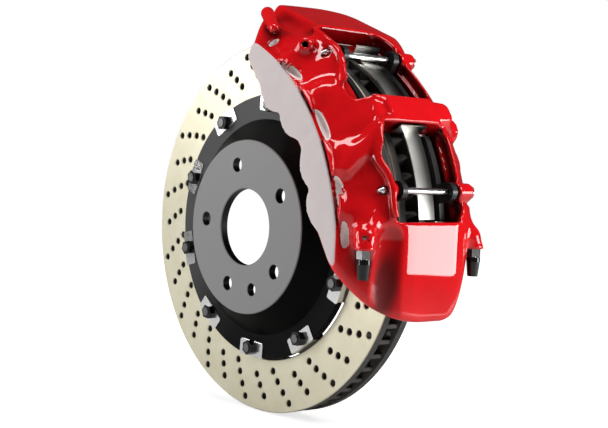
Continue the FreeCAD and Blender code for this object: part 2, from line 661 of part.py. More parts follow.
def all_pieces():
    """Every piece of the assembly: node name to a solid or a list of separate solids."""
    pieces = {
        "friction_ring": friction_ring(),
        "disc_hat": disc_hat(),
        "drive_bobbins": drive_bobbins(),
        "bobbin_washers": bobbin_washers(),
        "bobbin_screws": bobbin_screws(),
        "bobbin_nuts": bobbin_nuts(),
        "caliper_body": caliper_body(),
        "piston_seals": piston_rings(BORE_RADIUS, SEAL_OUTER_RADIUS, SEAL_DEPTHS, 0.0),
        "piston_dust_boots": piston_rings(PISTON_RADIUS + 0.35, BOOT_OUTER_RADIUS, BOOT_DEPTHS, 0.0),
        "abutment_plates": abutment_plates(),
        "pin_clips": pin_clips(),
    }
    sides = {"outboard": -1, "inboard": 1}
    windows = {"lower": -1, "upper": 1}
    for side_name, side in sides.items():
        for number, angle in enumerate(piston_angles(), 1):
            pieces[f"piston_{side_name}_{number}"] = piston(angle, side)
        for window_name, window in windows.items():
            place = f"{side_name}_{window_name}"
            pieces[f"pad_lining_{place}"] = pad_lining(window, side)
            pieces[f"pad_backplate_{place}"] = pad_backplate(window, side)
            pieces[f"pad_shim_{place}"] = pad_shim(window, side)
        pieces[f"bleed_screw_{side_name}"] = bleed_screw(side_name)
        pieces[f"bleed_cap_{side_name}"] = bleed_cap(side_name)
    for window_name, window in windows.items():
        pieces[f"pad_pin_{window_name}"] = pad_pin(window)
        pieces[f"pad_spring_{window_name}"] = pad_spring(window)
    return pieces


def main():
    os.makedirs("parts", exist_ok=True)
    for name, piece in all_pieces().items():
        shape = Part.makeCompound(piece) if isinstance(piece, list) else piece
        if not shape.isValid():
            print("not valid:", name)
        print(name, len(shape.Solids), round(shape.Volume / 1000, 1), "cm3")
        shape.exportStep(f"parts/{name}.step")


main()
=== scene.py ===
"""Looks of the drilled brake disc and its red fixed caliper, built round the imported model.

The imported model's frame is in metres, with +Y inboard, +Z up, the disc axis along Y and the hub
face at Y = 0.  The caliper's casting is sculpted in millimetres and degrees, in axes turned so that
the caliper's middle is on +X.  There, v is the depth from the disc's middle plane (inboard is
positive), and r and a are polar coordinates about the disc axis.  Each end of the casting is a flat
facet: height is measured square to it and reach along it.
"""
import json
import math

import bpy
import numpy as np
from mathutils import Matrix, Vector

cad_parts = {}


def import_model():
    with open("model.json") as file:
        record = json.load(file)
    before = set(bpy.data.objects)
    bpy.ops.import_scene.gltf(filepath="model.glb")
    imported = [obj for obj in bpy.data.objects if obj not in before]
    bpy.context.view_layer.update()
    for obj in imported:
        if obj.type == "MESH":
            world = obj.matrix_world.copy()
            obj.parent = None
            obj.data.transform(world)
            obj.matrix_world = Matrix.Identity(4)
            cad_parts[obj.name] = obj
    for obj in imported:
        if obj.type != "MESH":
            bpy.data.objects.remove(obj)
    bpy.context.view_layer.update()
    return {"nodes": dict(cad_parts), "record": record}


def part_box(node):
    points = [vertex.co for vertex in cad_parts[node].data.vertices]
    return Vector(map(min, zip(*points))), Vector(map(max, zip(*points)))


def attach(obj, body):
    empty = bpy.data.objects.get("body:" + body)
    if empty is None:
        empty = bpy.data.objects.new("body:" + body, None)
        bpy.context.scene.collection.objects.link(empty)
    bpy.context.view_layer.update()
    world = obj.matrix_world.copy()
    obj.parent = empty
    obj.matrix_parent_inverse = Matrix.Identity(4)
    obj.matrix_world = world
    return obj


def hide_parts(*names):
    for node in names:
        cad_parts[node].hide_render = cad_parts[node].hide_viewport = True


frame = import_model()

NODES = frame["nodes"]

MM = 0.001
DISC_MID_Y = sum(corner.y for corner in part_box("friction_ring")) / 2
RING_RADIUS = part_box("friction_ring")[1].z
HAT_FACE_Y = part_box("disc_hat")[0].y
CALIPER_ANGLE = 34.5

# ---------------------------------------------------------------- the casting's measures

# The casting is round as far as FACET_ANGLE from its middle, and flat beyond.
FACET_ANGLE = 34.5
FACET_COS = math.cos(math.radians(FACET_ANGLE))
FACET_SIN = math.sin(math.radians(FACET_ANGLE))
HULL_RADIUS = 200
INNER_RADIUS = 137.5
OUTBOARD_V = -80.0
INBOARD_V = 77
LOW_REACH, HIGH_REACH = 68, 71
# The upper end stands CROWN proud of the hull, and its inboard side is deeper; both come in over a
# range of angles.
CROWN = 2.5
CROWN_ANGLES = (15, 30)
DEEPER_ANGLES = (23, 32)

# Straight lines that bound the casting.  Each is a run of points with the casting on its left.
# Tips are (height, reach), bevels and the profile (height or radius, v), and plans (reach, v).
LOW_TIP = ((187, 68.5), (137.5, -12))
HIGH_TIP = ((187, 72), (137.5, -12))
FACE_BEVEL = ((166, -80), (195, -47))
LOW_OUTBOARD_BEVEL = ((193, -54), (200, -32))
HIGH_OUTBOARD_BEVEL = ((193, -58), (200, -44))
LOW_INBOARD_BEVEL = ((200, 41), (184, 70))
HIGH_INBOARD_BEVEL = ((200, 67), (190, 79))
INBOARD_PROFILE = ((200, 44), (190, 66), (170, 76))
RAIL_SLOPE = ((200, 38), (186, 59))
LOW_OUTBOARD_PLAN = ((22, -81), (46, -65), (60, -46), (68, -20))
HIGH_OUTBOARD_PLAN = ((16, -81), (50, -51), (61, -32), (68, 4), (70, 30))
LOW_INBOARD_PLAN = ((68, 26), (59, 40), (44, 49), (20, 60), (-6, 72))
HIGH_INBOARD_PLAN = ((70, 30), (68, 46), (56, 64), (24, 79))

# The machined land on the outboard face.  Its outer edge is nearest the axis at -LAND_TURN degrees,
# and moves out with the square of the angle from there, below it and above it.
LAND_RADIUS = 163.6
LAND_TURN = 14
LAND_RISE_BELOW, LAND_RISE_ABOVE = 0.0110, 0.0043
# The plateau carries the land's upper end in front of the hull's bevels.
PLATEAU_REACH = 20
PLATEAU_BACK_V = -50
GROOVE_HALF_WIDTH = 1.4
GROOVE_DEPTH = 3.0

# Leaf-shaped pockets in the bevel beside the land: radius, angle, and half sizes along the radius
# and along the arc.  The bevel starts at BEVEL_RADIUS.
POCKETS = (
    (178.5, 37, 4.2, 3.4),
    (171, 22.3, 3.0, 14),
    (168.7, 0.2, 3.2, 15),
    (168.5, -20.7, 3.2, 14),
    (170.7, -32.5, 2.8, 11),
)
POCKET_DEPTH = 6.0
BEVEL_RADIUS = 166
BEVEL_SLOPE = 1.1

# Windows over the pads, by their side of the casting's middle: first and last angle.  WINDOW_ANGLE
# is the middle of the pads under them.
WINDOWS = {-1: (-29.2, -4.0), 1: (4.0, 33.0)}
WINDOW_ANGLE = 16.6
WINDOW_HALF_WIDTH = 42
WINDOW_FLOOR_RADIUS = 186
# The lip round a window: how far it reaches past the opening, its size across, and its radius,
# which falls outboard of LIP_FALL_V.
LIP_AT_ENDS, LIP_AT_SIDES, LIP_HALF_HEIGHT = 6, 5, 3.2
LIP_RADIUS = 199.5
LIP_FALL_V, LIP_FALL_SLOPE = -47, 0.88
PAD_SPAN = 12.6
PAD_CAVITY_V = 38
PAD_CAVITY_RADIUS = 100

PISTON_CIRCLE = 152.0
PISTON_ANGLES = [side * WINDOW_ANGLE + turn for side in (-1, 1) for turn in (-6.6, 6.6)]
PISTON_BORE_RADIUS = 15
PISTON_BORE_V = 68
LOBE_RADIUS = 22
LEGS = ((OUTBOARD_V, -30), (30, 76))
SWELL_CIRCLE = 163
SWELL_ANGLES = (-26.5, -10, 10, 26.5)

PIN_CIRCLE = 193.5
PIN_ANGLES = (-21.4, 21.4)
PIN_HOLE_RADIUS = 3.05
PIN_BOSS_RADIUS = 8
PIN_BOSSES = ((-44, -37), (37, 56))

DISC_SLOT_RADIUS = 181.5
DISC_SLOT_V = 19.5
EAR_CIRCLE = 125
EAR_ANGLE = 42
EAR_V = 60
EAR_RADIUS, EAR_HOLE_RADIUS = 14, 7.1
EAR_HALF_THICKNESS = 12
INLET_CIRCLE = 172
INLET_RADIUS, INLET_HOLE_RADIUS = 12, 5

# Seats of the bleed screws: depth, and the way from there to the disc
BLEED_SEATS = ((-69, 1), (66, -1))
BLEED_BOSS_RADIUS, BLEED_ROOT_RADIUS = 8.7, 11
SPOT_FACE_RADIUS = 11
SPOT_FACE_CLEARANCE = 46
BLEED_HOLE_RADIUS = 4.95
BLEED_HOLE_LENGTH = 12

# Sculpting: the grid's corners and step, the points along a block's side, how many blocks' sides
# from the surface blocks are worked out, how many go in one batch, and how often points are moved
GRID_LOW, GRID_HIGH = (70, -86, -184), (215, 86, 184)
QUICK_STEP, FULL_STEP = 3.0, 1.7
BLOCK = 8
BLOCK_MARGIN = 1.2
BATCH = 400
MOVES = 2


# ---------------------------------------------------------------- the casting as a distance field

def smooth_min(first, second, blend):
    """The union of two distances, with a fillet about as large as blend."""
    near = np.maximum(blend - np.abs(first - second), 0) / blend
    return np.minimum(first, second) - near * near * blend * 0.25


def smooth_max(first, second, blend):
    """The overlap of two distances, with a rounded edge about as large as blend."""
    return -smooth_min(-first, -second, blend)


def carve(body, tool, blend):
    """The body less the tool, with a rounded edge."""
    return smooth_max(body, -tool, blend)


def rising(value, span):
    """0 at the span's start and 1 at its end, in a straight line."""
    return np.clip((value - span[0]) / (span[1] - span[0]), 0, 1)


def beyond(first, second, start, end):
    """Distance to the right of the way from start to end, in the plane of two coordinates."""
    run = (end[0] - start[0], end[1] - start[1])
    return ((first - start[0]) * run[1] - (second - start[1]) * run[0]) / math.hypot(*run)


def chain(first, second, points, blend):
    """Distance to the right of a run of straight lines through points, with rounded corners."""
    edge = beyond(first, second, points[0], points[1])
    for start, end in zip(points[1:], points[2:]):
        edge = smooth_max(edge, beyond(first, second, start, end), blend)
    return edge


def polar(radius, angle, depth):
    """The point at a radius, an angle and a depth."""
    turn = math.radians(angle)
    return np.array([radius * math.cos(turn), depth, radius * math.sin(turn)])


def facet_place(height, reach, depth, side):
    """A point over one end's facet, as (radius, angle, depth)."""
    x = height * FACET_COS - reach * FACET_SIN
    z = side * (height * FACET_SIN + reach * FACET_COS)
    return math.hypot(x, z), math.degrees(math.atan2(z, x)), depth


def turned_place(x, depth, z):
    """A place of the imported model's axes, in millimetres, as (radius, angle, depth)."""
    return math.hypot(x, z), math.degrees(math.atan2(z, x)) - CALIPER_ANGLE, depth


class Place:
    """The coordinates of an array of points, worked out once, and distances from them to solids."""

    def __init__(self, points):
        self.x, self.v, self.z = points.T
        self.r = np.hypot(self.x, self.z)
        self.a = np.degrees(np.arctan2(self.z, self.x))
        away = np.abs(self.z)
        self.height = self.x * FACET_COS + away * FACET_SIN
        self.reach = away * FACET_COS - self.x * FACET_SIN
        self.hull = np.where(np.abs(self.a) < FACET_ANGLE, self.r, self.height)

    def arc(self, angle):
        """Length of an angle's arc at each point's radius."""
        return angle * (math.pi / 180) * self.r

    def by_end(self, low, high):
        """The first value in the casting's lower half, and the second in its upper half."""
        return np.where(self.z < 0, low, high)

    def ball(self, radius, angle, depth, sizes):
        """Distance to an ellipsoid at a polar place; sizes are radial, along the arc and deep."""
        turn = math.radians(angle)
        cos, sin = math.cos(turn), math.sin(turn)
        radial = (self.x * cos + self.z * sin - radius) / sizes[0]
        across = (self.z * cos - self.x * sin) / sizes[1]
        deep = (self.v - depth) / sizes[2]
        size = np.sqrt(radial ** 2 + across ** 2 + deep ** 2)
        return (size - 1) * min(sizes)

    def rod(self, start, end, size, end_size=None):
        """Distance to a capsule between two (radius, angle, depth) places, which may taper."""
        first, last = polar(*start), polar(*end)
        run = last - first
        offset = np.stack([self.x - first[0], self.v - first[1], self.z - first[2]], -1)
        along = np.clip(offset @ run / (run @ run), 0, 1)
        gap = offset - along[:, None] * run
        width = size if end_size is None else size + along * (end_size - size)
        return np.sqrt((gap ** 2).sum(-1)) - width

    def peg(self, radius, angle, size, low, high):
        """Distance to a cylinder along the disc axis, between two depths."""
        turn = math.radians(angle)
        out = np.hypot(self.x - radius * math.cos(turn), self.z - radius * math.sin(turn)) - size
        return np.maximum(out, np.abs(self.v - (low + high) / 2) - (high - low) / 2)


def land_edge(angle):
    """Radius of the machined land's outer edge."""
    past = angle + LAND_TURN
    return LAND_RADIUS + np.where(past > 0, LAND_RISE_ABOVE, LAND_RISE_BELOW) * past ** 2


def pocket_middle(radius):
    """Depth of a pocket's middle, 1 mm under the bevel beside the land."""
    return OUTBOARD_V + BEVEL_SLOPE * (radius - BEVEL_RADIUS) + 1


def casting_outline(at):
    """The casting's outline along the disc axis."""
    crown = CROWN * rising(at.a, CROWN_ANGLES)
    outline = smooth_max(at.hull - HULL_RADIUS - crown, INNER_RADIUS - at.r, blend=3)
    low_tip = beyond(at.height, at.reach, *LOW_TIP)
    high_tip = beyond(at.height, at.reach, *HIGH_TIP)
    low_tip = smooth_max(low_tip, at.reach - LOW_REACH, blend=10)
    high_tip = smooth_max(high_tip, at.reach - HIGH_REACH, blend=8)
    return smooth_max(outline, at.by_end(low_tip, high_tip), blend=6)


def outboard_side(at):
    """The outboard face, its bevels, its plan and the plateau that carries the land's upper end."""
    side = smooth_max(beyond(at.hull, at.v, *FACE_BEVEL), OUTBOARD_V - at.v, blend=2.5)
    bevel = at.by_end(beyond(at.height, at.v, *LOW_OUTBOARD_BEVEL),
                      beyond(at.height, at.v, *HIGH_OUTBOARD_BEVEL))
    side = smooth_max(side, bevel, blend=5)
    plan = at.by_end(chain(at.reach, at.v, LOW_OUTBOARD_PLAN, blend=7),
                     chain(at.reach, at.v, HIGH_OUTBOARD_PLAN, blend=5))
    side = smooth_max(side, plan, blend=5)
    plateau = smooth_max(at.r - land_edge(at.a), at.reach - PLATEAU_REACH, blend=10)
    plateau = np.maximum(plateau, at.v - PLATEAU_BACK_V)
    plateau = smooth_max(plateau, OUTBOARD_V - at.v, blend=0.5)
    above, far_off = at.a > 5, 99
    return smooth_min(side, np.where(above, plateau, far_off), blend=1)


def inboard_side(at):
    """The inboard face, its bevels and its plan; it is deeper at the upper end."""
    side = chain(at.hull, at.v, INBOARD_PROFILE, blend=12)
    deeper = beyond(at.height, at.v, *HIGH_INBOARD_BEVEL)
    side = side + rising(at.a, DEEPER_ANGLES) * (deeper - side)
    side = smooth_max(side, at.v - INBOARD_V, blend=6)
    bevel = beyond(at.height, at.v, *LOW_INBOARD_BEVEL)
    side = at.by_end(smooth_max(side, bevel, blend=5), side)
    plan = at.by_end(chain(at.reach, at.v, LOW_INBOARD_PLAN, blend=8),
                     chain(at.reach, at.v, HIGH_INBOARD_PLAN, blend=8))
    return smooth_max(side, plan, blend=6)


def casting_block(at):
    """The casting's overall shape, before anything stands on it or is taken out of it."""
    sides = smooth_max(outboard_side(at), inboard_side(at), blend=4)
    return smooth_max(casting_outline(at), sides, blend=5)


def shoulders(at, body):
    """Swellings over the pistons on both legs."""
    for angle in PISTON_ANGLES:
        for low, high in LEGS:
            lobe = at.peg(PISTON_CIRCLE, angle, LOBE_RADIUS, low, high)
            body = smooth_min(body, lobe, blend=4)
        inboard = at.ball(SWELL_CIRCLE, angle, depth=48, sizes=(23, 18, 22))
        body = smooth_min(body, inboard, blend=8)
    for angle in SWELL_ANGLES:
        outboard = at.ball(SWELL_CIRCLE, angle, depth=-54, sizes=(25, 17, 24))
        body = smooth_min(body, outboard, blend=6)
    return smooth_max(body, OUTBOARD_V - at.v, blend=1.0)


def inboard_rail(at, body):
    """The slope along the inboard edge, over the two windows."""
    middle_angle, half_angle, floor_radius = 14, 10, 178
    ends = at.arc(np.abs(np.abs(at.a) - middle_angle) - half_angle)
    past_slope = -beyond(at.hull, at.v, *RAIL_SLOPE)
    rail = np.maximum(past_slope, np.maximum(ends, floor_radius - at.r))
    return carve(body, rail, blend=6)


def hollows(at, body):
    """Scoops, pockets and the groove round the land, on the outboard leg's shoulder."""
    high_valley = at.rod(facet_place(207, -4, -46, 1), facet_place(205, 66, -48, 1), 15, 17)
    body = carve(body, high_valley, blend=5)
    low_valley = at.rod(facet_place(204, -2, -49, -1), facet_place(204, 66, -52, -1), 17, 19)
    body = carve(body, low_valley, blend=3)
    middle_valley = at.rod((204, 2.5, -56), (180, -1.0, -84), 13, 7)
    body = carve(body, middle_valley, blend=9)
    for radius, angle, wide, length in POCKETS:
        sizes = (wide, length, POCKET_DEPTH)
        body = carve(body, at.ball(radius, angle, pocket_middle(radius), sizes), blend=1.0)
    groove = np.abs(at.r - land_edge(at.a) - GROOVE_HALF_WIDTH) - GROOVE_HALF_WIDTH
    groove = np.maximum(groove, at.v - OUTBOARD_V - GROOVE_DEPTH)
    return carve(body, groove, blend=1.2)


def bridge(at, body):
    """The middle bridge between the windows, and the ridge that runs down from it."""
    half_width, middle_v, half_length = 9.5, 13, 39
    middle_radius, half_height = 192, 11
    sides = at.arc(np.abs(at.a)) - half_width
    rib = smooth_max(sides, np.abs(at.v - middle_v) - half_length, blend=6)
    rib = smooth_max(rib, np.abs(at.r - middle_radius) - half_height, blend=3)
    body = smooth_min(body, rib, blend=5)
    ridge = at.rod((200, -5.5, -42), (176, -14.5, -72), 3.5, 5)
    return smooth_min(body, ridge, blend=9)


def window_half_width(at, side, arc):
    """Half a window's width along the disc axis; its outboard edge bends."""
    if side < 0:
        bulge = 7 * np.exp(-((arc - 12) / 16) ** 2)
        return WINDOW_HALF_WIDTH + bulge * (at.v < 0)
    step = 16 / (1 + np.exp(np.clip((arc + 5) / 9, -30, 30)))
    return np.where(at.v < 0, 37 + step, WINDOW_HALF_WIDTH)


def windows(at, body):
    """Openings over the pads, each with a raised lip."""
    for side, (first, last) in WINDOWS.items():
        middle, half = (first + last) / 2, (last - first) / 2
        ends = at.arc(np.abs(at.a - middle) - half)
        width = window_half_width(at, side, at.arc(at.a - side * WINDOW_ANGLE))
        opening = smooth_max(ends, np.abs(at.v) - width, blend=14)
        opening = smooth_max(opening, WINDOW_FLOOR_RADIUS - at.r, blend=3)
        skin = LIP_RADIUS + LIP_FALL_SLOPE * np.minimum(at.v - LIP_FALL_V, 0)
        lip = smooth_max(ends - LIP_AT_ENDS, np.abs(at.v) - width - LIP_AT_SIDES, blend=20)
        lip = smooth_max(lip, np.abs(at.hull - skin) - LIP_HALF_HEIGHT, blend=4)
        if side < 0:
            lip = np.maximum(lip, at.arc(first + 1 - at.a))
        else:
            slanted_end = at.arc(first + 5 - at.a) - 1.5 * np.maximum(at.v + 50, 0)
            lip = smooth_max(lip, slanted_end, blend=5)
        thinner_inboard = np.maximum(at.v - 30, 0) * 0.9
        body = smooth_min(body, lip + thinner_inboard, blend=3)
        body = carve(body, opening, blend=2.5)
    return body


def pin_bosses(at, body):
    """Bosses round the pad pins, and the pins' holes."""
    for angle in PIN_ANGLES:
        for low, high in PIN_BOSSES:
            boss = at.peg(PIN_CIRCLE, angle, PIN_BOSS_RADIUS, low, high)
            body = smooth_min(body, boss, blend=4)
        inboard_face = PIN_BOSSES[1][1]
        clear = at.peg(PIN_CIRCLE, angle, PIN_BOSS_RADIUS + 0.5, inboard_face, 90)
        body = carve(body, clear, blend=2)
        body = carve(body, at.peg(PIN_CIRCLE, angle, PIN_HOLE_RADIUS, -80, 80), blend=0.8)
    return body


def mounting_ears(at, body):
    """Two drilled ears on the inboard leg."""
    for side in (-1, 1):
        angle = side * EAR_ANGLE
        low, high = EAR_V - EAR_HALF_THICKNESS, EAR_V + EAR_HALF_THICKNESS
        ear = at.peg(EAR_CIRCLE, angle, EAR_RADIUS, low, high)
        web = at.rod((EAR_CIRCLE, angle, EAR_V), (PISTON_CIRCLE, side * 33, EAR_V), 12)
        web = smooth_max(web, np.abs(at.v - EAR_V) - (EAR_HALF_THICKNESS - 0.5), blend=3)
        body = smooth_min(body, smooth_min(ear, web, blend=8), blend=6)
        body = carve(body, at.peg(EAR_CIRCLE, angle, EAR_HOLE_RADIUS, 40, 90), blend=1)
    return body


def upper_corner(at, body):
    """The knob on the upper outboard corner, the hollow beside it, and the plugged port below."""
    body = carve(body, at.ball(199, 38, -58, (11, 9, 9)), blend=4)
    knob = at.rod((200.5, 48, -49), (191, 37.5, -67), 6.2, 5)
    body = smooth_min(body, knob, blend=3)
    port_boss = at.ball(189, 26, -59, (10, 8, 9))
    body = smooth_min(body, port_boss, blend=4)
    port = at.rod((197, 24, -68), (186, 27, -56), 2.8)
    return carve(body, port, blend=1)


def fluid_inlet(at, body):
    """A drilled boss for the brake hose, inboard."""
    body = smooth_min(body, at.peg(INLET_CIRCLE, 0, INLET_RADIUS, 60, 78), blend=5)
    return carve(body, at.peg(INLET_CIRCLE, 0, INLET_HOLE_RADIUS, 64, 90), blend=1)


def disc_slot(at, body):
    """The slot that the disc runs in."""
    slot = np.maximum(at.r - DISC_SLOT_RADIUS, np.abs(at.v) - DISC_SLOT_V)
    return carve(body, slot, blend=3)


def piston_bores(at, body):
    """The bores, with sharp edges."""
    for angle in PISTON_ANGLES:
        bore = at.peg(PISTON_CIRCLE, angle, PISTON_BORE_RADIUS, -PISTON_BORE_V, PISTON_BORE_V)
        body = np.maximum(body, -bore)
    return body


def bleed_seats(at, body):
    """Bosses for the bleed screws at the lower end, with spot faces and holes straight down."""
    for depth, inward in BLEED_SEATS:
        seat = turned_place(190, depth, -6)
        neck = turned_place(187, depth + inward * 3, 5)
        root = turned_place(174, depth + inward * 18, 24)
        upper = at.rod(neck, root, BLEED_BOSS_RADIUS, BLEED_ROOT_RADIUS)
        boss = smooth_min(at.rod(seat, neck, BLEED_BOSS_RADIUS), upper, blend=4)
        body = smooth_min(body, boss, blend=8)
        down = polar(1, -90 - CALIPER_ANGLE, 0)
        seat_point = polar(*seat)
        dx, dv, dz = at.x - seat_point[0], at.v - seat_point[1], at.z - seat_point[2]
        below = dx * down[0] + dz * down[2]
        aside = np.sqrt(np.maximum(dx ** 2 + dv ** 2 + dz ** 2 - below ** 2, 0))
        clearance = np.maximum(-below, below - SPOT_FACE_CLEARANCE)
        body = carve(body, np.maximum(aside - SPOT_FACE_RADIUS, clearance), blend=2)
        hole = np.maximum(aside - BLEED_HOLE_RADIUS, -below - BLEED_HOLE_LENGTH)
        body = np.maximum(body, -hole)
    return body


def pad_cavities(at, body):
    """The cavities that hold the pads.  They are cut last, so nothing reaches into them."""
    for side in WINDOWS:
        arc = at.arc(at.a - side * WINDOW_ANGLE)
        cavity = np.maximum(np.abs(arc) - at.arc(PAD_SPAN), np.abs(at.v) - PAD_CAVITY_V)
        body = carve(body, np.maximum(cavity, PAD_CAVITY_RADIUS - at.r), blend=1.5)
    return body


CASTING_STEPS = (shoulders, inboard_rail, hollows, bridge, windows, pin_bosses, mounting_ears,
                 upper_corner, fluid_inlet, disc_slot, piston_bores, bleed_seats, pad_cavities)


def casting(points):
    """Distance from each point to the caliper's casting, in millimetres."""
    at = Place(points)
    body = casting_block(at)
    for add_or_cut in CASTING_STEPS:
        body = add_or_cut(at, body)
    return body


# ---------------------------------------------------------------- from the field to a mesh

def sampled(field, low, step, counts):
    """The field on a grid.  Only blocks near the surface are worked out point by point."""
    blocks = [math.ceil(count / BLOCK) for count in counts]
    middle = (BLOCK - 1) / 2
    axes = [low[i] + step * (BLOCK * np.arange(blocks[i]) + middle) for i in range(3)]
    centres = np.stack(np.meshgrid(*axes, indexing="ij"), -1).reshape(-1, 3)
    coarse = field(centres)
    values = np.repeat(coarse, BLOCK ** 3).reshape(-1, BLOCK ** 3)
    near = np.nonzero(np.abs(coarse) < step * BLOCK * BLOCK_MARGIN)[0]
    offsets = np.stack(np.meshgrid(*[np.arange(BLOCK)] * 3, indexing="ij"), -1).reshape(-1, 3)
    offsets = step * (offsets - middle)
    for part in np.array_split(near, max(1, len(near) // BATCH)):
        points = (centres[part][:, None] + offsets).reshape(-1, 3)
        values[part] = field(points).reshape(len(part), -1)
    values = values.reshape(*blocks, BLOCK, BLOCK, BLOCK).transpose(0, 3, 1, 4, 2, 5)
    return values.reshape(*[count * BLOCK for count in blocks])


def surface_net(values):
    """One vertex in each cell that the surface crosses, and a quad round each crossed grid edge."""
    inside = values < 0
    cells = np.array(values.shape) - 1
    sums = np.zeros([*cells, 3])
    hits = np.zeros(cells)
    quads = []
    for axis in range(3):
        first = [slice(None)] * 3
        second = [slice(None)] * 3
        first[axis], second[axis] = slice(0, -1), slice(1, None)
        first, second = tuple(first), tuple(second)
        change = inside[first] != inside[second]
        edges = np.argwhere(change)
        near, far = values[first][change], values[second][change]
        crossing = edges.astype(float)
        crossing[:, axis] += near / (near - far)
        others = [i for i in range(3) if i != axis]
        corners = []
        for back in ((0, 0), (0, 1), (1, 1), (1, 0)):
            corner = edges.copy()
            corner[:, others] -= back
            corners.append(corner)
            valid = (corner >= 0).all(1) & (corner < cells).all(1)
            index = tuple(corner[valid].T)
            np.add.at(sums, index, crossing[valid])
            np.add.at(hits, index, 1)
        quad = np.stack(corners, 1)
        leaving = inside[first][change]
        turned = leaving if axis != 1 else ~leaving
        quad[turned] = quad[turned][:, ::-1]
        quads.append(quad)
    quads = np.concatenate(quads)
    quads = quads[(quads >= 0).all((1, 2)) & (quads < cells).all((1, 2))]
    numbers = np.full(hits.shape, -1)
    used = hits > 0
    numbers[used] = np.arange(used.sum())
    vertices = sums[used] / hits[used][:, None]
    return vertices, numbers[tuple(quads.reshape(-1, 3).T)].reshape(-1, 4)


def slope(field, points, step=0.05):
    """The field's gradient by central differences."""
    parts = []
    for axis in range(3):
        shift = np.zeros(3)
        shift[axis] = step
        parts.append((field(points + shift) - field(points - shift)) / (2 * step))
    return np.stack(parts, -1)


def sculpted(field, low, high, step):
    """Points and quads of the closed surface where the field is zero, moved onto it."""
    counts = [math.ceil((high[i] - low[i]) / step) + 1 for i in range(3)]
    vertices, quads = surface_net(sampled(field, low, step, counts))
    points = np.array(low) + step * vertices
    least_slope, longest_move, tiny = 0.25, 0.5 * step, 1e-9
    for _ in range(MOVES):
        gradient = slope(field, points)
        size = np.maximum((gradient ** 2).sum(-1), least_slope)
        move = -(field(points) / size)[:, None] * gradient
        length = np.linalg.norm(move, axis=-1, keepdims=True)
        points = points + move * np.minimum(1, longest_move / np.maximum(length, tiny))
    return points, quads


def to_packed(points):
    """Points of the casting's axes, in millimetres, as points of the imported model, in metres."""
    turn = math.radians(CALIPER_ANGLE)
    cos, sin = math.cos(turn), math.sin(turn)
    x, v, z = points.T
    turned = np.stack([x * cos - z * sin, v, x * sin + z * cos], -1)
    return turned * MM + np.array([0, DISC_MID_Y, 0])


def mesh_object(name, points, faces):
    """A smoothly shaded mesh, in the scene."""
    mesh = bpy.data.meshes.new(name)
    mesh.from_pydata([tuple(p) for p in points], [], [tuple(f) for f in faces])
    mesh.update()
    mesh.polygons.foreach_set("use_smooth", [True] * len(mesh.polygons))
    made = bpy.data.objects.new(name, mesh)
    bpy.context.scene.collection.objects.link(made)
    return made


def caliper_casting(material):
    """The sculpted casting, which takes the place of the CAD casting."""
    points, quads = sculpted(casting, GRID_LOW, GRID_HIGH, FULL_STEP)
    made = mesh_object("caliper_casting", to_packed(points), quads)
    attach(made, "caliper")
    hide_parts("caliper_body")
    made.data.materials.append(material)


# ---------------------------------------------------------------- materials

